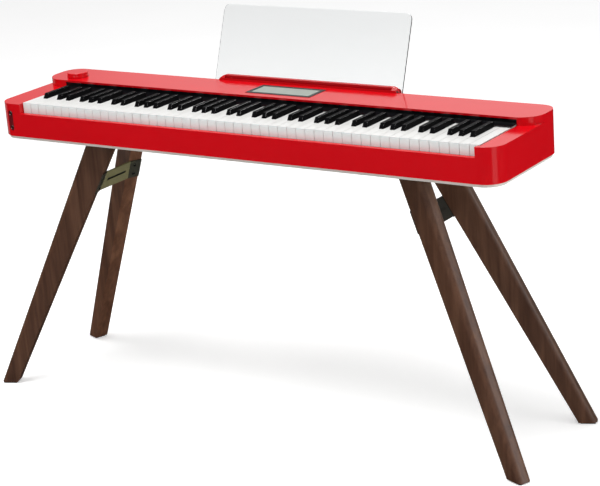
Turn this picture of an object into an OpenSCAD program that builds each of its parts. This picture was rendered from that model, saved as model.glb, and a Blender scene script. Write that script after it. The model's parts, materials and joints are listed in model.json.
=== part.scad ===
// Slim 88-key digital piano with a display, a clear music panel and a knob,
// standing on four splayed wooden legs.
// World frame: Z up, floor at z = 0, X along the keyboard, Y to the back.
// Body pieces are drawn in the keyboard frame: x = 0 at the middle of the keyboard,
// y = 0 at the white-key fronts and z = 0 at the white-key tops.

/* [Keyboard] */
// Width of one white key place
white_pitch = 23.5; // [23:0.1:24]
// Height of the white-key tops above the floor
key_height = 704; // [650:1:800]
// Visible length of the white keys
white_length = 137; // [125:1:150]
// Free length of the white keys in front of the black keys
black_front = 50; // [45:1:55]
// Width of a black key at its foot
black_width = 11; // [9.5:0.1:11.5]
// Height of a black key above the white keys
black_height = 11.5; // [9:0.5:12]
// Gap between neighbouring keys
key_gap = 1.0; // [0.8:0.1:1.4]
// Height of the white-key front
white_front_h = 25; // [20:0.5:26]
// Largest turn of a key
key_dip_deg = 2.4; // [1.5:0.1:2.5]
// Radius of the rod that the keys hinge on
pivot_r = 2.5; // [2:0.1:3]
// Radial running clearance of the key bores and of the knob shaft
run_gap = 0.05; // [0.02:0.01:0.1]

/* [Case] */
// Width of the case to the left of the keys
left_block = 72; // [64:1:100]
// Width of the case to the right of the keys
right_block = 45; // [39:1:100]
// Case front face in front of the white-key fronts
case_front = 13; // [12:1:18]
// Distance from the white-key fronts to the case's back face
case_back = 279; // [275:1:335]
// Case height below the white-key tops
case_below = 80.5; // [80:0.5:110]
// Height of the deck above the white-key tops
deck_rise = 16.7; // [16:0.1:25]
// Distance from the white-key fronts to the front edge of the deck
deck_front = 163; // [158:1:175]
// Wall thickness of the case
case_wall = 4; // [3:0.5:4]
// Plan radius of the case corners
case_r = 45; // [35:1:55]
// Plan radius of the front corners of the deck
deck_r = 50; // [40:1:55]
// Thickness of the bottom panel
bottom_t = 7; // [5:0.5:9]
// Set-back of the bottom panel from the case sides
bottom_inset = 4.5; // [4:0.5:9]

/* [Deck fittings] */
// Width of the display bezel
bezel_w = 176; // [140:1:200]
// Depth of the display bezel
bezel_d = 74; // [60:1:76]
// Diameter of the volume knob
knob_d = 52; // [36:1:54]
// Height of the volume knob
knob_h = 11.5; // [8:0.5:16]

/* [Music panel] */
// Width of the clear panel
panel_w = 516; // [400:1:700]
// Full height of the clear panel along its slope
panel_h = 200; // [150:1:260]
// Thickness of the clear panel
panel_t = 4; // [3:0.5:5]
// Backward lean of the clear panel
panel_lean = 21; // [15:1:24]
// Length of the ledge that the sheets stand on
ledge_w = 489; // [350:1:700]

/* [Stand] */
// Distance from the middle to a leg's top along the keyboard
leg_top_x = 421; // [380:1:440]
// Outward spread of each leg along the keyboard
leg_spread_x = 282; // [200:1:300]
// Distance between the front and rear leg tops, halved
leg_top_y = 57; // [50:1:70]
// Outward spread of each leg to the front or back
leg_spread_y = 112; // [80:1:130]
// Width of a leg at its top
leg_w_top = 66; // [58:1:85]
// Width of a leg at its foot
leg_w_foot = 37; // [34:1:60]
// Thickness of a leg
leg_t = 35; // [30:1:40]
// Radius of the two outer edges of a leg
leg_round = 12; // [8:0.5:14]

/* [Hidden] */
$fn = 96;
EPS = 0.01;
WHITES = 52;
SIDES = [-1, 1];

// keyboard
keys_w = WHITES * white_pitch;
well_half = keys_w / 2 + 1.5;
pivot_y = case_back - 41;
pivot_z = -9;
tail_end = pivot_y + 8;
tail_start = deck_front + 5;
tail_w_white = 9;
tail_w_black = 6;
stem_h = 17;
key_wall = 2;
key_top_t = 3;
black_taper = 1.6;
black_slope = 6.5;
black_end = white_length - 1;
// black-key shift from its white boundary, by the letter C D E F G A B on the boundary's right
BLACK_SHIFT = [undef, -2.2, 2.2, undef, -3.3, 0, 3.3];
OCTAVE_START = [2, 9, 16, 23, 30, 37, 44, WHITES];

// case
case_left = keys_w / 2 + left_block;
case_right = keys_w / 2 + right_block;
deck_t = 3;
cheek_drop = 1.5;
cheek_t = 3;
slip_drop = white_front_h - 0.5;
rail_t = 3;
rail_gap = 1.5;
end_lip = 7;
lip_h = 4.5;
lip_t = 4;
rear_r = 40;
rim_h = 3;
rim_w = bottom_inset + 9;
rib_t = 3;
body_plan = [-case_left, case_right, -case_front, case_back];
boss_r = 4.5;
case_screw_r = 1.5;
pilot_play = 0.1;
FRONT_BOSS_X = [-case_left + 58, -300, -100, 100, 300, case_right - 31];
REAR_BOSS_X = [-case_left + 28, -330, -130, 130, 330, case_right - 26];
front_boss_y = -case_front + bottom_inset + 5;
rear_boss_y = case_back - 13;
front_boss_top = -64;

// chassis
chassis_z = -62;
chassis_t = 3;
chassis_half = well_half - 1;
felt_t = 3;
felt_top = -white_front_h - (pivot_y - 22) * sin(key_dip_deg) - 0.6;
stop_y = 20;
stop_w = 5;
board_y = 92;
board_d = 36;
board_z = -29;
STAND_BOLT_X = [-45, 45];
STAND_BOLT_Y = [24, 194];
stand_bolt_r = 3;
standoff_r = 8;

// speakers and boards
speaker_x = 250;
speaker_y = 180;
speaker_r = 46;
MAIN_BOARD = [-case_left + 123, -case_left + 353];
POWER_BOARD = [case_right - 326, case_right - 136];
BOARD_Y = [142, 224];
pcb_t = 1.6;
inner_board_z = -52;

// deck fittings
display_x = -5.5;
display_y = (deck_front + case_back) / 2;
bezel_border = 10;
bezel_t = 0.9;
knob_x = -case_left + 75.5;
knob_y = deck_front + 41.2;
shaft_r = 3;
bush_r = 4.9;
knob_gap = 0.5;
knob_round = 1.5;
knob_step = 0.8;
knob_base_h = 5;

// headphone sockets, on the rounded left front corner
phone_angle = 262;
phone_z = -43;
phone_w = 16;
phone_h = 50;
phone_r = 3.25;
phone_pitch = 34;
phone_back = -case_wall - 3.5;
phone_corner = [-case_left + case_r, -case_front + case_r];

// rear sockets
REAR_X = [-case_left + 123, -case_left + 283];
REAR_Z = [-56, -24];
rear_z = (REAR_Z[0] + REAR_Z[1]) / 2;
REAR_PHONE_X = [REAR_X[1] - 30, REAR_X[1] - 55];
dc_x = REAR_X[0] + 20;
dc_r = 2.8;
dc_pin_r = 1;
usb_x = REAR_X[0] + 54;
usb_w = 12;
usb_h = 11;
jack_face = case_back - case_wall - 1.5;

// music ledge and panel
ledge_x = 12.5;
panel_x = 5;
panel_y = case_back + 13;
slot_depth = 22;
slot_play = 0.2;
ledge_wall_h = 11.3;
ledge_round = 18;
ledge_lip_h = 5;
ledge_end = 15;
ledge_back = panel_y + 6.5;
ledge_low = -12;
LEDGE_SCREW_X = [-200, 0, 200];
ledge_screw_z = 5;

// stand
stand_mid_y = 109;
stand_plate_t = 3;
pad_t = 3;
pad_inset = 4;
body_bottom = key_height - case_below;
leg_top_z = body_bottom - bottom_t - stand_plate_t;
leg_run = norm([leg_spread_x, leg_spread_y]);
leg_turn = atan2(leg_spread_y, leg_spread_x);
leg_lean = atan2(leg_run, leg_top_z);
leg_half_top = leg_w_top / cos(leg_lean) / 2;
leg_half_foot = leg_w_foot / cos(leg_lean) / 2;
inner_slope = (leg_run - leg_half_foot + leg_half_top) / (leg_top_z - pad_t);
inner_lean = atan(inner_slope);
outer_lean = atan2(leg_run + leg_half_foot - leg_half_top, leg_top_z - pad_t);
bracket_drop = 103;
bracket_h = 52;
bracket_t = 3;
groove_depth = 1.6;
bracket_z = leg_top_z - bracket_drop;
bracket_hole_pitch = 26;
wood_screw_r = 2;
wood_screw_l = 22;
top_screw_r = 3;
top_screw_l = 40;
TOP_SCREW_PLACES = [-10, 26];

// where the world's y = 0 lies: the middle of the whole object's depth
foot_reach = leg_half_foot * sin(leg_turn) + leg_t / 2 * cos(leg_turn);
front_reach = stand_mid_y - leg_top_y - leg_spread_y - foot_reach;
panel_up = panel_h - slot_depth;
rear_reach = panel_y + panel_up * sin(panel_lean) + panel_t / 2 * cos(panel_lean);
key_y0 = -(front_reach + rear_reach) / 2;

// ---------- frames and outlines ----------

module in_keyboard() translate([0, key_y0, key_height]) children();

module slab(z0, z1) translate([0, 0, z0]) linear_extrude(z1 - z0) children();

module span_box(x, y, z) translate([x[0], y[0], z[0]]) cube([x[1] - x[0], y[1] - y[0], z[1] - z[0]]);

// rectangle with plan radius rf at the front and rb at the back; p = [x0, x1, y0, y1]
module round_plan(p, rf, rb) {
    w = p[1] - p[0];
    translate([p[0] + rf, p[2]]) square([w - 2 * rf, rf + EPS]);
    translate([p[0], p[2] + rf]) square([w, p[3] - p[2] - rf - rb]);
    translate([p[0] + rb, p[3] - rb - EPS]) square([w - 2 * rb, rb + EPS]);
    for (x = [p[0] + rf, p[1] - rf]) translate([x, p[2] + rf]) circle(rf);
    for (x = [p[0] + rb, p[1] - rb]) translate([x, p[3] - rb]) circle(rb);
}

module inset_plan(p, rf, rb, d) round_plan([p[0] + d, p[1] - d, p[2] + d, p[3] - d], rf - d, rb - d);

module body_outline(d = 0) inset_plan(body_plan, case_r, rear_r, d);

module deck_outline(d = 0) inset_plan([-case_left, case_right, deck_front, case_back], deck_r, rear_r, d);

// upright slot with round ends, w wide and h high, centred
module stadium(w, h) {
    square([w, h - w], center = true);
    for (s = SIDES) translate([0, s * (h - w) / 2]) circle(w / 2);
}

// ---------- case ----------

module case_cavity() {
    slab(-case_below + rim_h, deck_rise - deck_t) deck_outline(case_wall);
    difference() {
        slab(-case_below + rim_h, -cheek_drop - cheek_t) body_outline(case_wall);
        for (s = SIDES) translate([s * (well_half + rib_t / 2) - rib_t / 2, -case_front, -case_below])
            cube([rib_t, case_front + deck_front + case_wall, case_below]);
    }
    slab(-case_below - 1, -case_below + rim_h + 1) body_outline(rim_w);
}

// flat rail in front of the white keys, closed on top, with a lip in front of the last key's edge
module front_rail() {
    y = [-case_front + 1, -rail_gap];
    span_box([-well_half - EPS, well_half + EPS], y, [-slip_drop - rail_t, -slip_drop]);
    span_box([well_half - end_lip, well_half + EPS], y, [-slip_drop - EPS, -cheek_drop]);
}

module key_well() {
    lip_under = deck_rise - lip_h;
    span_box([-well_half, well_half - end_lip], [-case_front - 1, 0], [-slip_drop, deck_rise + 1]);
    span_box([-well_half, well_half], [-rail_gap, deck_front], [-slip_drop, deck_rise + 1]);
    span_box([-well_half, well_half], [0, deck_front + lip_t + 1], [-slip_drop, lip_under]);
}

module boss(x, y, z1) {
    translate([x, y, -case_below]) cylinder(r = boss_r, h = z1 + case_below);
}

module boss_bore(x, y, depth) {
    translate([x, y, -case_below - 1]) cylinder(r = case_screw_r + pilot_play, h = depth + 1);
}

module at_phone_plate(out = 0) {
    translate([phone_corner[0] + (case_r + out) * cos(phone_angle),
               phone_corner[1] + (case_r + out) * sin(phone_angle), phone_z])
        rotate([90, 0, phone_angle + 90]) children();
}

module upper_case() color([0.78, 0.03, 0.07]) in_keyboard() difference() {
    union() {
        difference() {
            union() {
                slab(-case_below, -cheek_drop) body_outline();
                slab(-case_below, deck_rise) deck_outline();
            }
            case_cavity();
            key_well();
        }
        front_rail();
        for (x = FRONT_BOSS_X) boss(x, front_boss_y, front_boss_top);
        for (x = REAR_BOSS_X) boss(x, rear_boss_y, deck_rise - deck_t + EPS);
    }
    for (x = FRONT_BOSS_X) boss_bore(x, front_boss_y, 14);
    for (x = REAR_BOSS_X) boss_bore(x, rear_boss_y, 14);
    translate([knob_x, knob_y, 0]) cylinder(r = bush_r + pilot_play, h = deck_rise + 1);
    translate([display_x, display_y, deck_rise])
        cube([bezel_w - bezel_border, bezel_d - bezel_border, 3 * deck_t], center = true);
    at_phone_plate() slab(-2 * case_wall - 4, case_wall) stadium(phone_w, phone_h);
    span_box(REAR_X, [case_back - case_wall - 1, case_back + 1], REAR_Z);
    for (x = LEDGE_SCREW_X)
        translate([ledge_x + x, case_back + 1, ledge_screw_z]) rotate([90, 0, 0])
            cylinder(r = case_screw_r + pilot_play, h = case_wall + 2);
}

module bottom_panel() color([0.80, 0.80, 0.77]) in_keyboard() difference() {
    slab(-case_below - bottom_t, -case_below) body_outline(bottom_inset);
    for (s = SIDES) translate([s * speaker_x, speaker_y, -case_below - bottom_t - 1])
        for (i = [-4:4]) translate([i * 9, 0, 0]) linear_extrude(bottom_t + 2)
            stadium(4, 2 * sqrt(pow(speaker_r - 4, 2) - pow(i * 9, 2)));
    for (x = FRONT_BOSS_X) panel_hole(x, front_boss_y);
    for (x = REAR_BOSS_X) panel_hole(x, rear_boss_y);
    each_stand_bolt() cylinder(r = stand_bolt_r + 0.3, h = 4 * case_below, center = true);
    each_top_screw() cylinder(r = 7, h = 4 * bottom_t, center = true);
}

module panel_hole(x, y) translate([x, y, -case_below]) {
    cylinder(r = case_screw_r + pilot_play, h = 4 * bottom_t, center = true);
    translate([0, 0, -bottom_t - 1]) cylinder(r = 3.2, h = 3);
}

// the small screws of the case: the bottom panel's and the music ledge's
module case_screws() color("silver") in_keyboard() {
    for (x = FRONT_BOSS_X) case_screw(x, front_boss_y);
    for (x = REAR_BOSS_X) case_screw(x, rear_boss_y);
    for (x = LEDGE_SCREW_X) translate([ledge_x + x, case_back + 2.5, ledge_screw_z]) rotate([90, 0, 0]) {
        translate([0, 0, -1.6]) cylinder(r = 3, h = 1.6);
        cylinder(r = case_screw_r, h = 7.5);
    }
}

module case_screw(x, y) translate([x, y, -case_below - bottom_t]) {
    translate([0, 0, 0.2]) cylinder(r = 3, h = 1.8);
    translate([0, 0, 2 - EPS]) cylinder(r = case_screw_r, h = 12);
}

// black strip behind the keys: a low shelf over the key tails and an upright face under the deck lip
module fallboard_strip() color([0.04, 0.04, 0.045]) in_keyboard() {
    half = well_half - 0.2;
    top = deck_rise - lip_h;
    clear = 1.5;
    span_box([-half, half], [white_length + 0.5, deck_front + lip_t], [clear, clear + 1.5]);
    span_box([-half, half], [deck_front + 0.6, deck_front + lip_t], [clear, top]);
}

// ---------- key bed ----------

module key_chassis() color([0.22, 0.22, 0.24]) in_keyboard() {
    top = chassis_z + chassis_t;
    x = [-chassis_half, chassis_half];
    difference() {
        union() {
            span_box(x, [12, case_back - 20], [chassis_z, top]);
            span_box(x, [stop_y, stop_y + stop_w], [top - EPS, felt_top - felt_t]);
            for (y = [board_y, board_y + board_d - 3]) span_box(x, [y, y + 3], [top - EPS, board_z]);
            each_stand_bolt() translate([0, 0, -case_below]) cylinder(r = standoff_r, h = top + case_below);
            for (b = [MAIN_BOARD, POWER_BOARD], px = [b[0] + 6, b[1] - 6], py = [BOARD_Y[0] + 6, BOARD_Y[1] - 6])
                translate([px, py, top - EPS]) cylinder(r = 3, h = inner_board_z - top + EPS);
        }
        for (s = SIDES) translate([s * speaker_x, speaker_y, chassis_z - 1]) cylinder(r = speaker_r + 1, h = 5);
        each_stand_bolt() translate([0, 0, -case_below - 1])
            cylinder(r = stand_bolt_r + pilot_play, h = chassis_z + case_below - 1);
    }
}

module key_pivot_rod() color("silver") in_keyboard()
    translate([-well_half + 0.3, pivot_y, pivot_z]) rotate([0, 90, 0])
        cylinder(r = pivot_r, h = 2 * (well_half - 0.3));

// the rod is held between the E and F tails of every octave, and at both ends
function block_places() = concat([-keys_w / 2 - 0.4], [for (o = [5:7:47]) -keys_w / 2 + o * white_pitch],
    [keys_w / 2 + 0.4]);

module key_pivot_blocks() color([0.12, 0.12, 0.13]) in_keyboard()
    for (x = block_places()) {
        w = abs(x) > keys_w / 2 ? 1.4 : 3.4;
        difference() {
            span_box([x - w / 2, x + w / 2], [pivot_y - 6, pivot_y + 6], [chassis_z + chassis_t, pivot_z + 6]);
            translate([x, pivot_y, pivot_z]) rotate([0, 90, 0]) cylinder(r = pivot_r + 0.02, h = 20, center = true);
        }
    }

module key_stop_felt() color([0.55, 0.06, 0.08]) in_keyboard()
    span_box([-chassis_half, chassis_half], [stop_y, stop_y + stop_w], [felt_top - felt_t, felt_top]);

module key_contact_board() color([0.10, 0.35, 0.16]) in_keyboard()
    span_box([-chassis_half + 2, chassis_half - 2], [board_y, board_y + board_d], [board_z, board_z + pcb_t]);

module rubber_contact_strip() color([0.75, 0.75, 0.72]) in_keyboard()
    span_box([-chassis_half + 4, chassis_half - 4], [board_y + 10, board_y + 22], [board_z + pcb_t, board_z + pcb_t + 4]);

// ---------- electronics ----------

module inner_board(b) color([0.08, 0.32, 0.15]) in_keyboard() {
    span_box(b, BOARD_Y, [inner_board_z, inner_board_z + pcb_t]);
    top = inner_board_z + pcb_t - EPS;
    cx = (b[0] + b[1]) / 2;
    span_box([cx - 14, cx + 14], [170, 198], [top, top + 3]);
    span_box([cx - 70, cx - 52], [160, 190], [top, top + 9]);
    for (i = [0:3]) translate([cx + 40 + i * 13, 165, top]) cylinder(r = 4, h = 11);
}

module main_board() inner_board(MAIN_BOARD);

module power_board() inner_board(POWER_BOARD);

module speaker(s) color([0.10, 0.10, 0.11]) in_keyboard()
    translate([s * speaker_x, speaker_y, -case_below]) rotate_extrude()
        polygon([[0, 12], [12, 12], [speaker_r - 8, 3], [speaker_r - 5, 3], [speaker_r - 5, 0], [speaker_r, 0],
                 [speaker_r, 6], [22, 24], [22, 40], [0, 40]]);

module speaker_left() speaker(-1);

module speaker_right() speaker(1);

module display_bezel() color([0.28, 0.29, 0.29]) in_keyboard() translate([display_x, display_y, 0]) difference() {
    union() {
        translate([0, 0, deck_rise + bezel_t / 2]) cube([bezel_w, bezel_d, bezel_t], center = true);
        translate([0, 0, deck_rise - deck_t / 2 + EPS])
            cube([bezel_w - bezel_border - 0.4, bezel_d - bezel_border - 0.4, deck_t], center = true);
    }
    translate([0, 0, deck_rise])
        cube([bezel_w - 2 * bezel_border, bezel_d - 2 * bezel_border, 4 * deck_t], center = true);
}

module display_glass() color([0.68, 0.72, 0.68]) in_keyboard()
    translate([display_x, display_y, deck_rise - 0.6])
        cube([bezel_w - 2 * bezel_border, bezel_d - 2 * bezel_border, 2], center = true);

module display_module() color([0.10, 0.32, 0.15]) in_keyboard()
    translate([display_x, display_y, deck_rise - deck_t - 2.5])
        cube([bezel_w - 6, bezel_d - 20, 5], center = true);

module volume_knob() color([0.78, 0.03, 0.07]) in_keyboard()
    translate([knob_x, knob_y, deck_rise + knob_gap]) rotate_extrude() {
        r = knob_d / 2 - knob_step;
        difference() {
            union() {
                square([knob_d / 2, knob_base_h]);
                square([r, knob_h - knob_round]);
                square([r - knob_round, knob_h]);
                translate([r - knob_round, knob_h - knob_round]) circle(knob_round);
            }
            translate([-1, -1]) square([shaft_r + 1, knob_h - 3 + 1]);
        }
    }

module volume_shaft() color("silver") in_keyboard()
    translate([knob_x, knob_y, deck_rise - 9]) cylinder(r = shaft_r, h = 9 + knob_gap + knob_h - 3);

module volume_pot() color([0.35, 0.35, 0.38]) in_keyboard() translate([knob_x, knob_y, deck_rise]) difference() {
    union() {
        translate([0, 0, -deck_t]) cylinder(r = bush_r, h = deck_t);
        translate([-8.5, -8.5, -deck_t - 9]) cube([17, 17, 9]);
    }
    translate([0, 0, -10]) cylinder(r = shaft_r + run_gap, h = 12);
}

module headphone_plate() color([0.05, 0.05, 0.055]) in_keyboard() at_phone_plate() difference() {
    union() {
        slab(phone_back, -1.5) stadium(phone_w - 0.3, phone_h - 0.3);
        slab(phone_back, phone_back + 1.9) stadium(phone_w + 6, phone_h + 6);
    }
    for (s = SIDES) translate([0, s * phone_pitch / 2, phone_back - 1]) cylinder(r = phone_r, h = 8);
}

module headphone_jacks() color([0.12, 0.12, 0.13]) in_keyboard() at_phone_plate()
    for (s = SIDES) translate([0, s * phone_pitch / 2, phone_back - 26]) difference() {
        translate([-6.5, -8, 0]) cube([13, 16, 26]);
        translate([0, 0, 3]) cylinder(r = phone_r, h = 30);
    }

module rear_jack_panel() color([0.06, 0.06, 0.065]) in_keyboard() difference() {
    union() {
        span_box([REAR_X[0] + 0.2, REAR_X[1] - 0.2], [jack_face, case_back - 1], [REAR_Z[0] + 0.2, REAR_Z[1] - 0.2]);
        span_box([REAR_X[0] - 3, REAR_X[1] + 3], [jack_face, case_back - case_wall], [REAR_Z[0] - 3, REAR_Z[1] + 3]);
    }
    for (x = REAR_PHONE_X) rear_hole(x, phone_r);
    rear_hole(dc_x, dc_r);
    usb_box(0, [jack_face - 1, case_back + 1]);
}

module rear_hole(x, r) translate([x, case_back + 1, rear_z]) rotate([90, 0, 0])
    cylinder(r = r, h = case_back - jack_face + 2);

// block around the USB opening, grown by d on each side
module usb_box(d, y) span_box([usb_x - usb_w / 2 - d, usb_x + usb_w / 2 + d], y,
    [rear_z - usb_h / 2 - d, rear_z + usb_h / 2 + d]);

module rear_jacks() color([0.13, 0.13, 0.14]) in_keyboard() {
    y = [jack_face - 22, jack_face];
    for (x = REAR_PHONE_X) difference() {
        span_box([x - 8, x + 8], y, [rear_z - 9, rear_z + 9]);
        translate([x, y[1] + 1, rear_z]) rotate([90, 0, 0]) cylinder(r = phone_r, h = 20);
    }
    difference() {
        span_box([dc_x - 7, dc_x + 7], [y[0] + 8, y[1]], [rear_z - 7, rear_z + 7]);
        translate([dc_x, y[1] + 1, rear_z]) rotate([90, 0, 0]) difference() {
            cylinder(r = dc_r, h = 11);
            cylinder(r = dc_pin_r, h = 11);
        }
    }
    difference() {
        usb_box(1.5, [y[0] + 6, y[1]]);
        usb_box(0, [y[0] + 10, y[1] + 1]);
    }
}

// ---------- music ledge and panel ----------

// side view of the ledge, as (y, z): front lip, wall, and the back wall of the slot
module ledge_profile() {
    z = deck_rise;
    polygon([[case_back - 4.5, z], [case_back - 4.5, z + ledge_lip_h], [case_back - 2, z + ledge_lip_h],
             [case_back + 4, z + ledge_wall_h], [panel_y + 1, z + ledge_wall_h],
             [ledge_back, z + 2], [ledge_back, ledge_low], [case_back, ledge_low], [case_back, z]]);
}

// side view of the groove between the lip and the wall
module ledge_groove() {
    z = deck_rise;
    polygon([[case_back - 2, z + ledge_wall_h], [case_back - 2, z + ledge_lip_h], [case_back - 1.5, z + 0.5],
             [case_back + 3, z + 0.5], [case_back + 3.5, z + ledge_wall_h]]);
}

// front view of the ledge: flat top with round ends that run down to the deck
module ledge_front() {
    half = ledge_w / 2;
    top = deck_rise + ledge_wall_h;
    run = sqrt(pow(ledge_round, 2) - pow(ledge_round - ledge_wall_h, 2));
    translate([-half + run, ledge_low - 1]) square([2 * (half - run), top - ledge_low + 1]);
    translate([-half, ledge_low - 1]) square([2 * half, deck_rise - ledge_low + 1 + EPS]);
    intersection() {
        for (s = SIDES) translate([s * (half - run), top - ledge_round]) circle(ledge_round);
        translate([-half, deck_rise]) square([2 * half, ledge_wall_h]);
    }
}

module at_panel() translate([panel_x, panel_y, deck_rise]) rotate([-panel_lean, 0, 0]) children();

module music_ledge() color([0.78, 0.03, 0.07]) in_keyboard() difference() {
    intersection() {
        translate([ledge_x - ledge_w / 2, 0, 0]) rotate([90, 0, 90]) linear_extrude(ledge_w) ledge_profile();
        translate([ledge_x, ledge_back + 1, 0]) rotate([90, 0, 0]) linear_extrude(40) ledge_front();
    }
    translate([ledge_x - ledge_w / 2 + ledge_end, 0, 0]) rotate([90, 0, 90])
        linear_extrude(ledge_w - 2 * ledge_end) ledge_groove();
    at_panel() translate([-panel_w, -panel_t / 2 - slot_play, -slot_depth])
        cube([2 * panel_w, panel_t + 2 * slot_play, slot_depth + 60]);
    for (x = LEDGE_SCREW_X) translate([ledge_x + x, ledge_back + 1, ledge_screw_z]) rotate([90, 0, 0]) {
        cylinder(r = case_screw_r + pilot_play, h = 40);
        cylinder(r = 3.4, h = ledge_back + 1 - case_back - 2.5);
    }
}

module music_panel() color([0.92, 0.95, 0.96, 0.35]) in_keyboard() at_panel()
    translate([0, panel_t / 2, -slot_depth]) rotate([90, 0, 0]) linear_extrude(panel_t) {
        r = 16;
        low = 3;
        translate([-panel_w / 2, low]) square([panel_w, panel_h - r - low]);
        translate([-panel_w / 2 + low, 0]) square([panel_w - 2 * low, low + EPS]);
        translate([-panel_w / 2 + r, 0]) square([panel_w - 2 * r, panel_h]);
        for (s = SIDES) translate([s * (panel_w / 2 - r), panel_h - r]) circle(r);
        for (s = SIDES) translate([s * (panel_w / 2 - low), low]) circle(low);
    }

// ---------- stand ----------

module each_stand_bolt()
    for (s = SIDES, x = STAND_BOLT_X, y = STAND_BOLT_Y)
        translate([s * leg_top_x + x, y, 0]) children();

module at_leg(sx, sy) translate([sx * leg_top_x, stand_mid_y + sy * leg_top_y, 0])
    rotate([0, 0, atan2(sy * leg_spread_y, sx * leg_spread_x)]) children();

// the two screws that hold each leg's top, in the keyboard frame at the case's bottom
module each_top_screw()
    for (sx = SIDES, sy = SIDES) at_leg(sx, sy)
        for (d = TOP_SCREW_PLACES) translate([d, 0, -case_below]) children();

// a leg's cross-section with its outer side at x = 0
module leg_section() {
    flat = leg_t - 2 * leg_round;
    translate([-leg_run, -leg_t / 2]) square([leg_run - leg_round, leg_t]);
    translate([-leg_round - EPS, -flat / 2]) square([leg_round + EPS, flat]);
    for (s = SIDES) translate([-leg_round, s * flat / 2]) circle(leg_round);
}

module world_leg(sx, sy) translate([0, key_y0, 0]) at_leg(sx, sy) children();

module leg(sx, sy) color([0.33, 0.22, 0.16]) world_leg(sx, sy) difference() {
    intersection() {
        translate([0, leg_t / 2 + 1, 0]) rotate([90, 0, 0]) linear_extrude(leg_t + 2)
            polygon([[-leg_half_top, leg_top_z], [leg_half_top, leg_top_z],
                     [leg_run + leg_half_foot, pad_t], [leg_run - leg_half_foot, pad_t]]);
        translate([leg_half_top, 0, leg_top_z]) rotate([0, -outer_lean, 0])
            slab(-2 * key_height, key_height) leg_section();
    }
    for (d = TOP_SCREW_PLACES) translate([d, 0, leg_top_z - top_screw_l])
        cylinder(r = top_screw_r + pilot_play, h = top_screw_l + 1);
    at_flange() for (d = SIDES) translate([-bracket_t, d * bracket_hole_pitch / 2, 0]) rotate([0, 90, 0])
        cylinder(r = wood_screw_r + pilot_play, h = wood_screw_l + 2);
}

// frame on a leg's inner edge: x into the wood, y up the edge, z across the leg's thickness
module at_flange() {
    s = -leg_half_top + inner_slope * (leg_top_z - bracket_z);
    translate([s, 0, bracket_z]) rotate([90, 0, 0]) rotate([0, 0, inner_lean]) children();
}

module leg_front_left() leg(-1, -1);

module leg_front_right() leg(1, -1);

module leg_rear_left() leg(-1, 1);

module leg_rear_right() leg(1, 1);

module stand_plate(s) color([0.08, 0.08, 0.085]) in_keyboard() difference() {
    slab(-case_below - bottom_t - stand_plate_t, -case_below - bottom_t)
        inset_plan([s * leg_top_x - 62, s * leg_top_x + 62, 8, 210], 8, 8, 0);
    each_stand_bolt() cylinder(r = stand_bolt_r + 0.3, h = 4 * case_below, center = true);
    each_top_screw() cylinder(r = top_screw_r + pilot_play, h = 40, center = true);
}

module stand_plate_left() stand_plate(-1);

module stand_plate_right() stand_plate(1);

module stand_bolts() color("silver") in_keyboard() each_stand_bolt()
    translate([0, 0, -case_below - bottom_t - stand_plate_t]) {
        translate([0, 0, -3.5]) cylinder(r = 5.2, h = 3.5);
        translate([0, 0, -EPS]) cylinder(r = stand_bolt_r, h = 25);
    }

module leg_top_screws() color("silver") in_keyboard() each_top_screw()
    translate([0, 0, -bottom_t]) {
        cylinder(r = 6, h = 3.6);
        translate([0, 0, -top_screw_l + stand_plate_t]) cylinder(r = top_screw_r, h = top_screw_l - stand_plate_t + EPS);
    }

// how far a leg's inner edge is from its top point at height z, along the leg's own plan direction
function edge_run(z) = -leg_half_top + inner_slope * (leg_top_z - z);
// half the span between the near edges of a pair's flanges at height z
function web_half(z) = leg_top_y + edge_run(z) * sin(leg_turn) - leg_t / 2 * cos(leg_turn);

module leg_bracket(s) color([0.17, 0.17, 0.13]) {
    for (sy = SIDES) world_leg(s, sy) at_flange() difference() {
        translate([-bracket_t, -bracket_h / 2, -leg_t / 2]) cube([bracket_t, bracket_h, leg_t]);
        for (d = SIDES) translate([-2 * bracket_t, d * bracket_hole_pitch / 2, 0]) rotate([0, 90, 0])
            cylinder(r = wood_screw_r + pilot_play, h = 4 * bracket_t);
    }
    web_x = leg_top_x + edge_run(bracket_z) * cos(leg_turn) + leg_t / 2 * sin(leg_turn) - bracket_t;
    web_lean = atan(inner_slope * cos(leg_turn));
    half_h = bracket_h / 2 * cos(inner_lean) / cos(web_lean);
    lap = 2.5;
    low = web_half(bracket_z - half_h * cos(web_lean)) + lap;
    high = web_half(bracket_z + half_h * cos(web_lean)) + lap;
    translate([s * web_x, key_y0 + stand_mid_y, bracket_z]) rotate([0, -s * web_lean, 0])
        rotate([90, 0, 90]) difference() {
            linear_extrude(bracket_t, center = true)
                polygon([[-low, -half_h], [low, -half_h], [high, half_h], [-high, half_h]]);
            translate([0, 0, -s * bracket_t / 2]) linear_extrude(2 * groove_depth, center = true)
                rotate(90) stadium(5, 70);
        }
}

module leg_bracket_left() leg_bracket(-1);

module leg_bracket_right() leg_bracket(1);

module bracket_screws() color("silver")
    for (sx = SIDES, sy = SIDES) world_leg(sx, sy) at_flange() for (d = SIDES)
        translate([-bracket_t, d * bracket_hole_pitch / 2, 0]) rotate([0, 90, 0]) {
            translate([0, 0, -2]) cylinder(r = 4, h = 2);
            translate([0, 0, -EPS]) cylinder(r = wood_screw_r, h = wood_screw_l);
        }

module foot_pads() color([0.10, 0.08, 0.07])
    for (sx = SIDES, sy = SIDES) world_leg(sx, sy)
        translate([leg_run - leg_half_foot + pad_inset, -leg_t / 2 + pad_inset, 0])
            cube([2 * (leg_half_foot - pad_inset), leg_t - 2 * pad_inset, pad_t]);

// ---------- keys ----------

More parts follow.
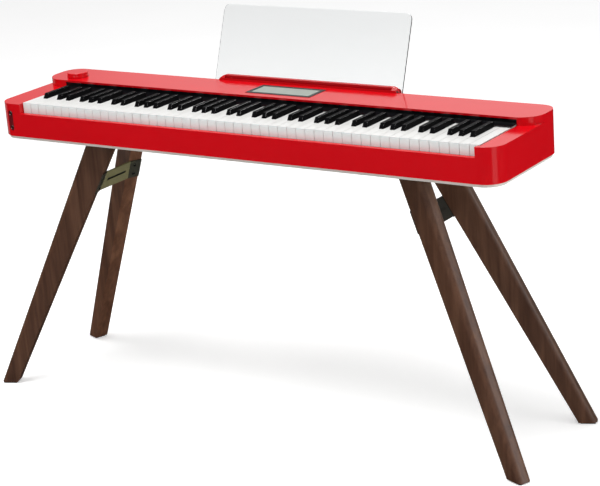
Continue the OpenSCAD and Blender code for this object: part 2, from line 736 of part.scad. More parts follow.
// letter of white key w, 0 for C up to 6 for B; key 0 is A
function letter(w) = (w + 5) % 7;
function has_black(b) = b > 0 && b < WHITES && !is_undef(BLACK_SHIFT[letter(b)]);
function white_x(w) = -keys_w / 2 + w * white_pitch;
function black_x(b) = white_x(b) + BLACK_SHIFT[letter(b)];
function stem_left(w) = has_black(w) ? black_x(w) + black_width / 2 + key_gap : white_x(w) + key_gap / 2;
function stem_right(w) = has_black(w + 1) ? black_x(w + 1) - black_width / 2 - key_gap
    : white_x(w + 1) - key_gap / 2;

module tail(x, w) difference() {
    span_box([x - w / 2, x + w / 2], [tail_start - 2, tail_end], [-stem_h, 0]);
    translate([x - w, pivot_y, pivot_z]) rotate([0, 90, 0]) cylinder(r = pivot_r + run_gap, h = 2 * w);
}

module white_key(w) color([0.96, 0.96, 0.95]) in_keyboard() {
    x = [white_x(w) + key_gap / 2, white_x(w + 1) - key_gap / 2];
    s = [stem_left(w), stem_right(w)];
    split = black_front - key_gap;
    difference() {
        union() {
            span_box(x, [0, split], [-white_front_h, 0]);
            span_box(s, [split - 1, tail_start], [-stem_h, 0]);
        }
        span_box([x[0] + key_wall, x[1] - key_wall], [key_wall, split - key_wall], [-white_front_h - 1, -key_top_t]);
        span_box([s[0] + key_wall, s[1] - key_wall], [split - key_wall - 1, tail_start - 4], [-stem_h - 1, -key_top_t]);
    }
    tail((s[0] + s[1]) / 2, tail_w_white);
}

module black_key(b) color([0.05, 0.05, 0.055]) in_keyboard() translate([black_x(b), 0, 0]) {
    w = black_width / 2;
    t = w - black_taper / 2;
    intersection() {
        translate([-w, 0, 0]) rotate([90, 0, 90]) linear_extrude(2 * w)
            polygon([[black_front, -stem_h], [black_front, 0], [black_front + black_slope, black_height],
                     [black_end, black_height], [black_end, -stem_h]]);
        translate([0, tail_start, 0]) rotate([90, 0, 0]) linear_extrude(tail_start)
            polygon([[-w, -stem_h - 1], [w, -stem_h - 1], [w, 0], [t, black_height], [-t, black_height], [-w, 0]]);
    }
    span_box([-w, w], [black_end - 1, tail_start], [-stem_h, 0]);
    tail(0, tail_w_black);
}

// white keys of octave n, 1 to 7; the first also has A0 and B0, and the last has C8
function octave_from(n) = n == 1 ? 0 : OCTAVE_START[n - 1];
function octave_to(n) = OCTAVE_START[n] - 1;

module white_octave(n) for (w = [octave_from(n):octave_to(n)]) white_key(w);

module black_octave(n) for (b = [octave_from(n):octave_to(n)]) if (has_black(b)) black_key(b);

module white_keys_octave_1() white_octave(1);

module white_keys_octave_2() white_octave(2);

module white_keys_octave_3() white_octave(3);

module white_keys_octave_5() white_octave(5);

module white_keys_octave_6() white_octave(6);

module white_keys_octave_7() white_octave(7);

module black_keys_octave_1() black_octave(1);

module black_keys_octave_2() black_octave(2);

module black_keys_octave_3() black_octave(3);

module black_keys_octaves_5_to_7() for (n = [5:7]) black_octave(n);

// the middle octave's keys, one by one: i counts its white keys from C
module middle_white(i) white_key(OCTAVE_START[3] + i);

module middle_black(i) black_key(OCTAVE_START[3] + i);

module key_c4() middle_white(0);

module key_c_sharp4() middle_black(1);

module key_d4() middle_white(1);

module key_d_sharp4() middle_black(2);

module key_e4() middle_white(2);

module key_f4() middle_white(3);

module key_f_sharp4() middle_black(4);

module key_g4() middle_white(4);

module key_g_sharp4() middle_black(5);

module key_a4() middle_white(5);

module key_a_sharp4() middle_black(6);

module key_b4() middle_white(6);

upper_case();
bottom_panel();
fallboard_strip();
key_chassis();
key_pivot_rod();
key_pivot_blocks();
key_stop_felt();
key_contact_board();
rubber_contact_strip();
main_board();
power_board();
speaker_left();
speaker_right();
display_bezel();
display_glass();
display_module();
volume_knob();
volume_shaft();
volume_pot();
headphone_plate();
headphone_jacks();
rear_jack_panel();
rear_jacks();
music_ledge();
music_panel();
case_screws();
stand_plate_left();
stand_plate_right();
stand_bolts();
leg_front_left();
leg_front_right();
leg_rear_left();
leg_rear_right();
leg_top_screws();
leg_bracket_left();
leg_bracket_right();
bracket_screws();
foot_pads();
white_keys_octave_1();
white_keys_octave_2();
white_keys_octave_3();
white_keys_octave_5();
white_keys_octave_6();
white_keys_octave_7();
black_keys_octave_1();
black_keys_octave_2();
black_keys_octave_3();
black_keys_octaves_5_to_7();
key_c4();
key_c_sharp4();
key_d4();
key_d_sharp4();
key_e4();
key_f4();
key_f_sharp4();
key_g4();
key_g_sharp4();
key_a4();
key_a_sharp4();
key_b4();
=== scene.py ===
"""The looks of the digital piano on its stand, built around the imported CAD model."""

import json
import math

import bmesh
import bpy
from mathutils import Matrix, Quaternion, Vector


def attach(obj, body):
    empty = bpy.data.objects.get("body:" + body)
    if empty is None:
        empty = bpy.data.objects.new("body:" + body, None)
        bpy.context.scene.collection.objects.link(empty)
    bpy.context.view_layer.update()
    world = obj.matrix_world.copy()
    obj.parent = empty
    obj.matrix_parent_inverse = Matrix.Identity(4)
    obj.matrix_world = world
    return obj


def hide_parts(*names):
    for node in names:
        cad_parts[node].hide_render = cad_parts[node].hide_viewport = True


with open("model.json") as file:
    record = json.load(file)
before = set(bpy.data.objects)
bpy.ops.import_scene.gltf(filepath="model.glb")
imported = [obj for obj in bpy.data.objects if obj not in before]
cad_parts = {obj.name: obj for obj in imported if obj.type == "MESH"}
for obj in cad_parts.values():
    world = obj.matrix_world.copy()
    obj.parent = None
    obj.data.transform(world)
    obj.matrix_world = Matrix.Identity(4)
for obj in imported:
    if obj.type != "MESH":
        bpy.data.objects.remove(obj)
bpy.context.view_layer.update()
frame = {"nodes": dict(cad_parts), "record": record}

MM = 0.001
SPOTS = (0.3, 0.7)

# ---------- camera ----------

CAMERA_AT = Vector((2.3818, -3.3862, 1.7132))
CAMERA_AIM = Vector((0.1211, -0.0899, 0.4234))
CAMERA_ROLL = math.radians(4.39)
CAMERA_LENS = 113.03


def make_camera():
    data = bpy.data.cameras.new("camera")
    data.lens = CAMERA_LENS
    data.sensor_width = 36
    cam = bpy.data.objects.new("camera", data)
    bpy.context.scene.collection.objects.link(cam)
    turn = (CAMERA_AIM - CAMERA_AT).to_track_quat("-Z", "Y")
    cam.rotation_mode = "QUATERNION"
    cam.rotation_quaternion = turn @ Quaternion((0, 0, 1), -CAMERA_ROLL)
    cam.location = CAMERA_AT
    bpy.context.scene.camera = cam
    return cam


# ---------- node helpers ----------


def set_inputs(node, values):
    for key, value in values.items():
        node.inputs[key].default_value = value


class Shader:
    """A material with a Principled shader and short ways to add nodes to it."""

    def __init__(self, name, **sockets):
        self.material = bpy.data.materials.new(name)
        self.material.use_nodes = True
        self.tree = self.material.node_tree
        self.bsdf = next(n for n in self.tree.nodes if n.type == "BSDF_PRINCIPLED")
        self.set(**sockets)

    def set(self, **sockets):
        for key, value in sockets.items():
            self.bsdf.inputs[key.replace("_", " ")].default_value = value

    def add(self, kind, inputs=None, **settings):
        node = self.tree.nodes.new(kind)
        for key, value in settings.items():
            setattr(node, key, value)
        set_inputs(node, inputs or {})
        return node

    def link(self, a, b):
        self.tree.links.new(a, b)

    def point(self, scale=(1, 1, 1), rotation=(0, 0, 0)):
        """The place in the object's own frame, turned and scaled."""
        coord = self.add("ShaderNodeTexCoord")
        mapping = self.add("ShaderNodeMapping", {"Scale": scale, "Rotation": rotation})
        self.link(coord.outputs["Object"], mapping.inputs["Vector"])
        return mapping.outputs["Vector"]

    def noise(self, vector, scale, detail=2.0, rough=0.5, distortion=0.0):
        node = self.add("ShaderNodeTexNoise", {"Scale": scale, "Detail": detail,
                                               "Roughness": rough, "Distortion": distortion})
        self.link(vector, node.inputs["Vector"])
        return node.outputs["Fac"]

    def ramp(self, fac, stops):
        node = self.add("ShaderNodeValToRGB")
        self.link(fac, node.inputs["Fac"])
        elements = node.color_ramp.elements
        while len(elements) < len(stops):
            elements.new(0.5)
        for element, (place, colour) in zip(elements, stops):
            element.position = place
            element.color = (*colour, 1)
        return node.outputs["Color"]

    def tones(self, fac, colours, spread):
        """Each colour with a slow drift to either side of it."""
        return [self.ramp(fac, list(zip(SPOTS, shades(c, spread)))) for c in colours]

    def blend(self, factor, a, b):
        mix = self.add("ShaderNodeMix", data_type="RGBA")
        for socket, value in zip(("Factor", "A", "B"), (factor, a, b)):
            self.link(value, next(i for i in mix.inputs if i.name == socket and i.enabled))
        return next(o for o in mix.outputs if o.enabled)

    def span(self, fac, low, high):
        """Maps 0..1 to low..high."""
        node = self.add("ShaderNodeMapRange", {"To Min": low, "To Max": high})
        self.link(fac, node.inputs["Value"])
        return node.outputs["Result"]

    def math(self, operation, a, b):
        node = self.add("ShaderNodeMath", operation=operation)
        for socket, value in zip(node.inputs, (a, b)):
            if isinstance(value, (int, float)):
                socket.default_value = value
            else:
                self.link(value, socket)
        return node.outputs["Value"]

    def bump(self, height, strength, distance):
        node = self.add("ShaderNodeBump", {"Strength": strength, "Distance": distance})
        self.link(height, node.inputs["Height"])
        self.link(node.outputs["Normal"], self.bsdf.inputs["Normal"])

    def drive(self, socket, output):
        self.link(output, self.bsdf.inputs[socket])


def shades(colour, spread):
    """Two close colours on either side of one, for a ramp."""
    dark = tuple(c * (1 - spread) for c in colour)
    light = tuple(min(1, c * (1 + spread)) for c in colour)
    return dark, light


def plastic(name, colour, rough, rough_spread, spread=0.05, grain=900.0, bump=0.05, depth=0.00005, **sockets):
    """Moulded or painted surface: slow colour drift, uneven gloss and a fine skin."""
    s = Shader(name, **sockets)
    place = s.point()
    dark, light = shades(colour, spread)
    s.drive("Base Color", s.ramp(s.noise(place, 6.0, 3.0), list(zip(SPOTS, (dark, light)))))
    s.drive("Roughness", s.span(s.noise(place, 40.0, 4.0), rough - rough_spread, rough + rough_spread))
    s.bump(s.noise(place, grain, 2.0), bump, depth)
    return s.material


def metal(name, colour, rough, stretch=(1, 1, 30), **sockets):
    """Brushed metal: fine lines along one direction in colour, gloss and relief."""
    s = Shader(name, Metallic=1.0, **sockets)
    lines = s.noise(s.point(scale=stretch), 400.0, 3.0)
    dark, light = shades(colour, 0.12)
    s.drive("Base Color", s.ramp(lines, [(0.35, dark), (0.65, light)]))
    s.drive("Roughness", s.span(lines, rough - 0.08, rough + 0.08))
    s.bump(lines, 0.1, 0.00005)
    return s.material


# ---------- materials ----------

RED = (0.67, 0.0018, 0.0070)
# where the ledge's groove and the brackets' slots are, in metres; both are painted nearly black as painted shadow
GROOVE_Y = (0.1398, 0.1462)
GROOVE_Z = (0.7200, 0.7246)
SLOT_Y = (-0.0629, 0.0071)
SLOT_Z = (0.5077, 0.5133)


def gloss_red(name):
    return plastic(name, RED, 0.15, 0.03, spread=0.02, grain=500.0, bump=0.03, depth=0.00003, IOR=1.42)


def clear_acrylic():
    s = Shader("clear_acrylic", Transmission_Weight=1.0, IOR=1.49)
    place = s.point()
    s.drive("Base Color", s.ramp(s.noise(place, 3.0), [(0.3, (0.93, 0.945, 0.945)), (0.7, (0.95, 0.96, 0.96))]))
    s.drive("Roughness", s.span(s.noise(place, 60.0, 4.0), 0.0, 0.02))
    return s.material


def walnut(name, along, painted_light_by):
    """Dark stained wood with its grain along the given direction."""
    s = Shader(name, IOR=1.45)
    turn = Vector(along).rotation_difference(Vector((0, 0, 1))).to_euler()
    streaks = s.noise(s.point(scale=(1, 1, 0.05), rotation=turn), 90.0, 6.0, 0.6, 0.6)
    bands = s.noise(s.point(scale=(1, 1, 0.12), rotation=turn), 22.0, 3.0, 0.5, 1.2)
    pores = s.noise(s.point(scale=(1, 1, 0.02), rotation=turn), 900.0, 2.0)
    both = s.math("ADD", s.math("MULTIPLY", streaks, 0.5), s.math("MULTIPLY", bands, 0.5))
    browns = [(0.34, (0.056, 0.022, 0.0115)), (0.50, (0.098, 0.042, 0.0220)), (0.66, (0.150, 0.068, 0.036))]
    # the browns are scaled by a painted-light factor, which makes the rear left leg lighter
    tone = s.ramp(both, [(place, tuple(c * painted_light_by for c in brown)) for place, brown in browns])
    dark = s.add("ShaderNodeMix", {"Factor": 0.22}, data_type="RGBA", blend_type="MULTIPLY")
    s.link(tone, dark.inputs["A"])
    s.link(s.ramp(pores, [(0.38, (0.35, 0.30, 0.28)), (0.50, (1, 1, 1))]), dark.inputs["B"])
    s.drive("Base Color", dark.outputs["Result"])
    s.drive("Roughness", s.span(both, 0.28, 0.42))
    s.bump(s.math("ADD", pores, streaks), 0.15, 0.0001)
    return s.material


def facing_parts(s):
    """X, Y and Z of the surface's direction in the object's own frame."""
    facing = s.add("ShaderNodeSeparateXYZ")
    s.link(s.add("ShaderNodeTexCoord").outputs["Normal"], facing.inputs["Vector"])
    return facing.outputs


def inside(s, spans):
    """1 where every listed axis of the object's own frame is between its two ends."""
    place = s.add("ShaderNodeSeparateXYZ")
    s.link(s.add("ShaderNodeTexCoord").outputs["Object"], place.inputs["Vector"])
    mask = 1
    for axis, (low, high) in spans.items():
        mask = s.math("MULTIPLY", mask, s.math("GREATER_THAN", place.outputs[axis], low))
        mask = s.math("MULTIPLY", mask, s.math("LESS_THAN", place.outputs[axis], high))
    return mask


def ledge_painted_shade():
    """A darker red than the case's, a painted shade, and nearly black in the groove between the lip and the wall,
    a painted shadow.
    """
    s = Shader("ledge_red_shaded", IOR=1.42)
    place = s.point()
    # the groove's inside, painted nearly black as painted shadow
    groove = inside(s, {"Y": GROOVE_Y, "Z": GROOVE_Z})
    # a darker red, the case red painted as if in shade, and the groove's near-black painted shadow
    tones = s.tones(s.noise(place, 6.0, 3.0), [(0.50, 0.0014, 0.0052), (0.05, 0.0002, 0.0006)], 0.02)
    s.drive("Base Color", s.blend(groove, *tones))
    s.drive("Roughness", s.span(s.noise(place, 40.0, 4.0), 0.2, 0.26))
    s.bump(s.noise(place, 500.0, 2.0), 0.03, 0.00003)
    return s.material


def white_key_plastic():
    """Painted lighter and cooler on the upright fronts, a painted light that cancels the red light the case
    throws on them.
    """
    s = Shader("key_white", IOR=1.25)
    place = s.point()
    # the upright fronts, which get the painted light
    front = s.math("LESS_THAN", facing_parts(s)["Y"], -0.5)
    tones = s.tones(s.noise(place, 6.0, 3.0), [(0.73, 0.725, 0.71), (0.86, 0.95, 0.94)], 0.01)
    s.drive("Base Color", s.blend(front, *tones))
    s.drive("Roughness", s.span(s.noise(place, 40.0, 4.0), 0.19, 0.29))
    s.bump(s.noise(place, 900.0, 2.0), 0.05, 0.00005)
    return s.material


def black_key_plastic():
    """Black, with a near-white line painted along the rounded right edge of the top, for a highlight."""
    s = Shader("key_black", IOR=1.06)
    place = s.point()
    facing = facing_parts(s)
    # painted highlight: the rounded right edges of the top are painted near-white in place of a highlight
    edge = s.math("MULTIPLY", s.math("GREATER_THAN", facing["X"], 0.2), s.math("GREATER_THAN", facing["Z"], 0.3))
    tones = s.tones(s.noise(place, 6.0, 3.0), [(0.0055, 0.0055, 0.006), (0.95, 0.95, 0.97)], 0.05)
    s.drive("Base Color", s.blend(edge, *tones))
    s.drive("Roughness", s.span(s.noise(place, 40.0, 4.0), 0.24, 0.36))
    s.bump(s.noise(place, 900.0, 2.0), 0.05, 0.00005)
    return s.material


def shaded_bracket_bronze(name, web, flange):
    """Bronze paint with painted shade: darker on the flanges, which face the legs, than on the web between them,
    and nearly black in the slot.
    """
    s = Shader(name, IOR=1.45)
    place = s.point()
    # the flanges, painted darker than the web as painted shade
    side = s.math("GREATER_THAN", s.math("ABSOLUTE", facing_parts(s)["Y"], 0), 0.15)
    # the slot's inside, painted nearly black as painted shadow
    slot = inside(s, {"Y": SLOT_Y, "Z": SLOT_Z})
    slot = s.math("MULTIPLY", slot, s.math("GREATER_THAN", facing_parts(s)["X"], 0.0))
    tones = s.tones(s.noise(place, 260.0, 2.0), [web, flange, (0.010, 0.009, 0.006)], 0.12)
    s.drive("Base Color", s.blend(side, s.blend(slot, tones[0], tones[2]), tones[1]))
    s.drive("Roughness", s.span(s.noise(place, 40.0, 4.0), 0.34, 0.5))
    s.bump(s.noise(place, 260.0, 2.0), 0.12, 0.00005)
    return s.material


def felt(name, colour):
    s = Shader(name, Roughness=0.95, Sheen_Weight=0.6, Sheen_Roughness=0.6)
    place = s.point()
    dark, light = shades(colour, 0.25)
    fuzz = s.noise(place, 1400.0, 4.0)
    s.drive("Base Color", s.ramp(fuzz, [(0.3, dark), (0.7, light)]))
    s.bump(fuzz, 0.6, 0.0004)
    return s.material


MATERIALS = {
    "case_red": gloss_red("case_red"),
    "knob_red": gloss_red("knob_red"),
    "base_grey": plastic("base_grey", (0.72, 0.72, 0.66), 0.5, 0.08),
    "strip_black": plastic("strip_black", (0.004, 0.004, 0.005), 0.16, 0.05, IOR=1.3),
    "chassis_plastic": plastic("chassis_plastic", (0.05, 0.05, 0.055), 0.55, 0.08),
    "bright_steel": metal("bright_steel", (0.55, 0.55, 0.56), 0.3),
    "stop_felt": felt("stop_felt", (0.30, 0.02, 0.03)),
    "circuit_green": plastic("circuit_green", (0.015, 0.10, 0.04), 0.35, 0.1, spread=0.2),
    "contact_rubber": plastic("contact_rubber", (0.45, 0.45, 0.42), 0.7, 0.05),
    "speaker_black": plastic("speaker_black", (0.02, 0.02, 0.022), 0.6, 0.1),
    "bezel_grey": plastic("bezel_grey", (0.040, 0.043, 0.043), 0.25, 0.05, IOR=1.15),
    "display_glass": plastic("display_glass", (0.30, 0.34, 0.30), 0.14, 0.03, IOR=1.3),
    "jack_black": plastic("jack_black", (0.012, 0.012, 0.013), 0.4, 0.08),
    "clear_panel": clear_acrylic(),
    "stand_black": plastic("stand_black", (0.012, 0.012, 0.013), 0.4, 0.1, grain=300.0, bump=0.15),
    "bracket_bronze": shaded_bracket_bronze("bracket_bronze", (0.190, 0.176, 0.082), (0.045, 0.044, 0.030)),
    # the right bracket: the same bronze painted nearly black all over, a painted shade
    "bracket_in_shade": shaded_bracket_bronze("bracket_in_shade", (0.022, 0.021, 0.016), (0.014, 0.014, 0.011)),
    "screw_dark": metal("screw_dark", (0.24, 0.24, 0.21), 0.25),
    "nickel": metal("nickel", (0.42, 0.41, 0.39), 0.25),
    "pad_rubber": plastic("pad_rubber", (0.02, 0.018, 0.016), 0.8, 0.08),
    "key_white": white_key_plastic(),
    "key_black": black_key_plastic(),
    "ledge_red_shaded": ledge_painted_shade(),
    # the headphone plate: a dark red, the case red painted as if in shade
    "plate_red_in_shade": plastic("plate_red_in_shade", (0.15, 0.003, 0.006), 0.3, 0.05),
}


def leg_direction(node):
    """From a leg's foot to its top."""
    points = [v.co for v in frame["nodes"][node].data.vertices]
    high = max(p.z for p in points)
    low = min(p.z for p in points)
    top = [p for p in points if p.z > high - 1e-4]
    foot = [p for p in points if p.z < low + 1e-4]
    mean = [sum(group, Vector()) / len(group) for group in (top, foot)]
    return (mean[0] - mean[1]).normalized()


# ---------- CAD nodes ----------

SLOT_OF = {row["node"]: row["material_slot"] for row in frame["record"]["subparts"]}

# rounding of each node's edges, in metres; the longest name that a node starts with counts
BLACK_EDGE = 0.0014
EDGE = {
    "upper_case": 0.0020,
    "bottom_panel": 0.0010,
    "music_ledge": 0.0008,
    "music_panel": 0.0008,
    "volume_knob": 0.0006,
    "leg_": 0.0022,
    "leg_bracket": 0.0006,
    "leg_top_screws": 0.0004,
    "white_keys": 0.0007,
    "black_keys": BLACK_EDGE,
    **{f"key_{note}_sharp4": BLACK_EDGE for note in "cdfga"},
    "key_": 0.0007,
}
EDGE_ELSE = 0.0004
# nodes that look different from their slot's material, each a painted shade: the right bracket nearly black, the
# headphone plate a dark red standing for the case red in shade, and the ledge a darker red with a nearly black
# groove
LOOK_OF = {"leg_bracket_right": "bracket_in_shade", "headphone_plate": "plate_red_in_shade", "music_ledge": "ledge_red_shaded"}
# a leg whose wood is painted lighter than the others, a painted light
LEG_PAINTED_LIGHT = {"leg_rear_left": 1.5}
EDGE_ANGLE = math.radians(30)
FLAT_ANGLE = math.radians(0.5)


def edge_width(node):
    names = [n for n in EDGE if node.startswith(n)]
    return EDGE[max(names, key=len)] if names else EDGE_ELSE


def soften(obj, width, segments=3):
    """Rounds the edges of a CAD node with modifiers, which leave its mesh as it is."""
    for p in obj.data.polygons:
        p.use_smooth = True
    weld = obj.modifiers.new("weld", "WELD")
    weld.merge_threshold = 1e-6
    flat = obj.modifiers.new("flat", "DECIMATE")
    flat.decimate_type = "DISSOLVE"
    flat.angle_limit = FLAT_ANGLE
    bevel = obj.modifiers.new("edges", "BEVEL")
    bevel.width = width
    bevel.segments = segments
    bevel.limit_method = "ANGLE"
    bevel.angle_limit = EDGE_ANGLE
    bevel.use_clamp_overlap = True
    obj.modifiers.new("normals", "WEIGHTED_NORMAL")


def dress_cad_nodes():
    for name, obj in frame["nodes"].items():
        slot = SLOT_OF[name]
        if slot == "leg_walnut":
            mat = walnut("walnut_" + name, leg_direction(name), LEG_PAINTED_LIGHT.get(name, 1.0))
        else:
            mat = MATERIALS[LOOK_OF.get(name, slot)]
        obj.data.materials.clear()
        obj.data.materials.append(mat)
        soften(obj, edge_width(name))


# ---------- added pieces ----------


def new_piece(name, bm, mat, body):
    mesh = bpy.data.meshes.new(name)
    bm.to_mesh(mesh)
    bm.free()
    for p in mesh.polygons:
        p.use_smooth = True
    mesh.materials.append(mat)
    obj = bpy.data.objects.new(name, mesh)
    bpy.context.scene.collection.objects.link(obj)
    obj.modifiers.new("normals", "WEIGHTED_NORMAL").keep_sharp = True
    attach(obj, body)
    return obj


def screw_places(node):
    """For each screw in a CAD node: the middle of its head's outer face, the outward
    direction, and how deep below that face the head's seat and the shank's end lie."""
    bm = bmesh.new()
    bm.from_mesh(frame["nodes"][node].data)
    bmesh.ops.remove_doubles(bm, verts=bm.verts, dist=1e-6)
    bm.normal_update()
    left = set(bm.faces)
    places = []
    while left:
        todo = [left.pop()]
        solid = set(todo)
        while todo:
            for e in todo.pop().edges:
                for f in e.link_faces:
                    if f in left:
                        left.remove(f)
                        solid.add(f)
                        todo.append(f)
        caps = {}
        for f in solid:
            key = tuple(round(c, 2) for c in f.normal) + (round(f.calc_center_median().dot(f.normal), 5),)
            area, middle, normal = caps.get(key, (0, Vector(), f.normal.copy()))
            caps[key] = (area + f.calc_area(), middle + f.calc_center_median() * f.calc_area(), normal)
        area, middle, axis = max(caps.values(), key=lambda cap: cap[0])
        middle = middle / area
        points = {v for f in solid for v in f.verts}
        depth = [(middle - v.co).dot(axis) for v in points]
        wide = [axis.cross(v.co - middle).length for v in points]
        seat = max(d for d, w in zip(depth, wide) if w > 0.95 * max(wide))
        places.append((middle, axis.normalized(), seat, max(depth)))
    bm.free()
    return places


def cross_outline(arm, half):
    """A plus sign in order, with arms that reach arm and are 2 * half wide."""
    a, h = arm, half
    return [(a, -h), (a, h), (h, h), (h, a), (-h, a), (-h, h),
            (-a, h), (-a, -h), (-h, -h), (-h, -a), (h, -a), (h, -h)]


def hex_outline(radius):
    return [(radius * math.cos(k * math.pi / 3), radius * math.sin(k * math.pi / 3)) for k in range(6)]


def add_head(bm, place, turn, radius, height, dome, recess, depth):
    """A screw head with a rounded rim and a recess; place is the middle of its seat and +Z of turn is outward."""
    steps = 32

    def ring(r, z):
        return [bm.verts.new(place + turn @ Vector((r * math.cos(2 * math.pi * k / steps),
                                                    r * math.sin(2 * math.pi * k / steps), z)))
                for k in range(steps)]

    rings = [ring(radius, 0), ring(radius, height - dome)]
    for k in range(1, 4):
        a = math.pi / 2 * k / 4
        rings.append(ring(radius - dome * (1 - math.cos(a)), height - dome + dome * math.sin(a)))
    rings.append(ring(radius - dome, height))
    for a, b in zip(rings, rings[1:]):
        for k in range(steps):
            bm.faces.new((a[k], a[(k + 1) % steps], b[(k + 1) % steps], b[k]))
    bm.faces.new(list(reversed(rings[0])))
    mouth = [bm.verts.new(place + turn @ Vector((x, y, height))) for x, y in recess]
    floor = [bm.verts.new(place + turn @ Vector((0.85 * x, 0.85 * y, height - depth))) for x, y in recess]
    n = len(mouth)
    loop = [bm.edges.new((mouth[k], mouth[(k + 1) % n])) for k in range(n)]
    rim = [bm.edges.get((rings[-1][k], rings[-1][(k + 1) % steps])) for k in range(steps)]
    bmesh.ops.triangle_fill(bm, use_beauty=True, use_dissolve=False, edges=loop + rim)
    for k in range(n):
        bm.faces.new((mouth[k], floor[k], floor[(k + 1) % n], mouth[(k + 1) % n]))
    bm.faces.new(floor)


def add_tube(bm, place, turn, profile, steps=40):
    """A closed profile of (radius, height) turned about the axis."""
    rings = [[bm.verts.new(place + turn @ Vector((r * math.cos(2 * math.pi * k / steps),
                                                  r * math.sin(2 * math.pi * k / steps), z)))
              for k in range(steps)] for r, z in profile]
    for a, b in zip(rings, rings[1:] + rings[:1]):
        for k in range(steps):
            bm.faces.new((a[k], a[(k + 1) % steps], b[(k + 1) % steps], b[k]))


def add_rod(bm, place, turn, radius, z0, z1, steps=20):
    ends = [[bm.verts.new(place + turn @ Vector((radius * math.cos(2 * math.pi * k / steps),
                                                 radius * math.sin(2 * math.pi * k / steps), z)))
             for k in range(steps)] for z in (z0, z1)]
    for k in range(steps):
        bm.faces.new((ends[0][k], ends[0][(k + 1) % steps], ends[1][(k + 1) % steps], ends[1][k]))
    bm.faces.new(list(reversed(ends[0])))
    bm.faces.new(ends[1])


def screws(node, mat, head_r, head_h, dome, recess, depth, shank_r):
    """Puts screws with real heads and driver recesses in the place of a CAD node of plain ones."""
    bm = bmesh.new()
    for middle, axis, seat_depth, end_depth in screw_places(node):
        seat = middle - axis * seat_depth
        turn = axis.to_track_quat("Z", "Y").to_matrix()
        add_head(bm, seat, turn, head_r, head_h, dome, recess, depth)
        add_rod(bm, seat, turn, shank_r, seat_depth - end_depth, 0.0002)
    bmesh.ops.recalc_face_normals(bm, faces=bm.faces)
    piece = new_piece(node + "_drive", bm, mat, "piano")
    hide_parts(node)


def mount_of(name):
    return next(m for m in frame["record"]["mounts"] if m["name"] == name)


# a ring's section: distance outside the hole and height above the plate
RING_PROFILE = [(0.0001, -0.0025), (0.0001, 0.0002), (0.0004, 0.0006), (0.0012, 0.0006),
                (0.0016, 0.0002), (0.0016, -0.0001), (0.0006, -0.0001), (0.0006, -0.0025)]


def jack_rings():
    """Thin metal rings around the mouths of the phone sockets."""
    bm = bmesh.new()
    for name in ("headphone_jack_upper", "headphone_jack_lower", "sustain_pedal_jack", "line_out_jack"):
        mount = mount_of(name)
        axis = Vector(mount["axis"]).normalized()
        out = Vector(mount["pos_m"]) + axis * mount["dims"]["length_mm"] / 2 * MM
        hole = mount["dims"]["r_mm"] * MM
        turn = axis.to_track_quat("Z", "Y").to_matrix()
        add_tube(bm, out, turn, [(hole + r, z) for r, z in RING_PROFILE])
    bmesh.ops.recalc_face_normals(bm, faces=bm.faces)
    new_piece("jack_rings", bm, MATERIALS["nickel"], "piano")


def add_pieces():
    screws("bracket_screws", MATERIALS["screw_dark"], head_r=0.0039, head_h=0.0021, dome=0.0012,
           recess=cross_outline(0.0019, 0.00045), depth=0.0012, shank_r=0.002)
    screws("case_screws", MATERIALS["bright_steel"], head_r=0.0029, head_h=0.0017, dome=0.0007,
           recess=cross_outline(0.0016, 0.0004), depth=0.001, shank_r=0.0015)
    screws("stand_bolts", MATERIALS["bright_steel"], head_r=0.0052, head_h=0.0034, dome=0.0018,
           recess=hex_outline(0.0023), depth=0.002, shank_r=0.003)
    jack_rings()


# ---------- floor and light ----------


FLOOR_GLOW = 0.45
FLOOR_HALF = 30
PANEL_SHARE = 0.9
WORLD_LOW = 0.38
WORLD_HIGH = 1.05


def make_floor():
    mesh = bpy.data.meshes.new("floor")
    h = FLOOR_HALF
    mesh.from_pydata([(-h, -h, 0), (h, -h, 0), (h, h, 0), (-h, h, 0)], [], [(0, 1, 2, 3)])
    floor = bpy.data.objects.new("floor", mesh)
    bpy.context.scene.collection.objects.link(floor)
    s = Shader("floor_white", Specular_IOR_Level=0.0, Emission_Color=(1, 1, 1, 1))
    place = s.point()
    s.drive("Base Color", s.ramp(s.noise(place, 2.0), [(0.3, (0.87, 0.87, 0.87)), (0.7, (0.89, 0.89, 0.89))]))
    s.drive("Roughness", s.span(s.noise(place, 30.0), 0.85, 0.95))
    path = s.add("ShaderNodeLightPath")
    through = s.math("MULTIPLY", path.outputs["Is Transmission Ray"], PANEL_SHARE)
    seen = s.math("MAXIMUM", path.outputs["Is Camera Ray"], through)
    s.drive("Emission Strength", s.math("MULTIPLY", seen, FLOOR_GLOW))
    mesh.materials.append(s.material)
    floor.visible_glossy = False


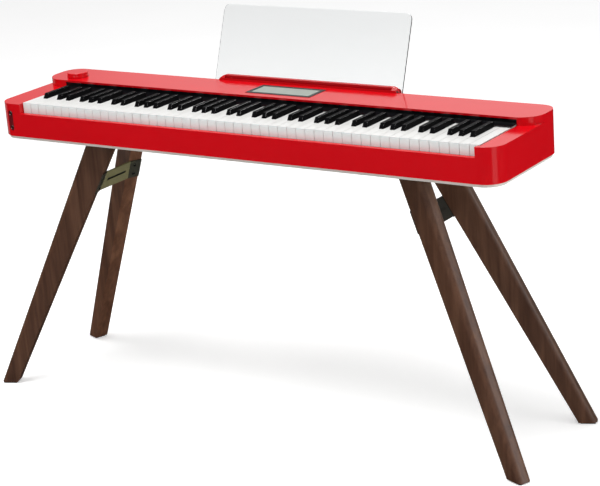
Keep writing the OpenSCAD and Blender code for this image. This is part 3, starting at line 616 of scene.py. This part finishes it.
def area_light(name, at, aim, size, power, colour=(1, 1, 1)):
    data = bpy.data.lights.new(name, "AREA")
    data.shape = "RECTANGLE"
    data.size, data.size_y = size
    data.energy = power
    data.color = colour
    lamp = bpy.data.objects.new(name, data)
    lamp.location = at
    lamp.rotation_euler = (Vector(aim) - Vector(at)).to_track_quat("-Z", "Y").to_euler()
    lamp.visible_camera = False
    bpy.context.scene.collection.objects.link(lamp)


def make_world():
    """A pale room, brightest behind the piano, that is dark below the horizon where only reflections see it."""
    world = bpy.data.worlds.new("studio")
    bpy.context.scene.world = world
    world.use_nodes = True
    tree = world.node_tree
    back = tree.nodes["Background"]
    coord = tree.nodes.new("ShaderNodeTexCoord")

    def part(direction, **spans):
        dot = tree.nodes.new("ShaderNodeVectorMath")
        dot.operation = "DOT_PRODUCT"
        dot.inputs[1].default_value = direction
        tree.links.new(coord.outputs["Generated"], dot.inputs[0])
        ramp = tree.nodes.new("ShaderNodeMapRange")
        set_inputs(ramp, {key.replace("_", " "): value for key, value in spans.items()})
        tree.links.new(dot.outputs["Value"], ramp.inputs["Value"])
        return ramp.outputs["Result"]

    glow = part((-0.05, 0.95, 0.30), From_Min=0.72, From_Max=1.0, To_Min=WORLD_LOW, To_Max=WORLD_HIGH)
    above = part((0, 0, 1), From_Min=-0.05, From_Max=0.06, To_Min=0.04, To_Max=1.0)
    left = part((1, 0, 0), From_Min=-0.74, From_Max=-0.61, To_Min=0.35, To_Max=1.0)
    strength = glow
    for other in (above, left):
        both = tree.nodes.new("ShaderNodeMath")
        both.operation = "MULTIPLY"
        tree.links.new(strength, both.inputs[0])
        tree.links.new(other, both.inputs[1])
        strength = both.outputs["Value"]
    tree.links.new(strength, back.inputs["Strength"])
    back.inputs["Color"].default_value = (1, 1, 1, 1)


def make_lights():
    make_world()
    area_light("key_light", (-0.4, -0.9, 4.4), (0, 0, 0.6), (2.5, 2.0), 165)
    area_light("side_fill", (3.2, 0.3, 1.0), (0.5, 0, 0.6), (1.5, 1.5), 18)
    area_light("left_strip", (-2.1, 0.2, 0.33), (-0.68, -0.09, 0.66), (0.6, 0.5), 0.5)
    area_light("side_strip", (1.85, -0.72, 0.34), (0.64, -0.08, 0.66), (0.62, 0.8), 1.5)


make_camera()
dress_cad_nodes()
add_pieces()
make_floor()
make_lights()
bpy.context.scene.view_settings.view_transform = "Standard"
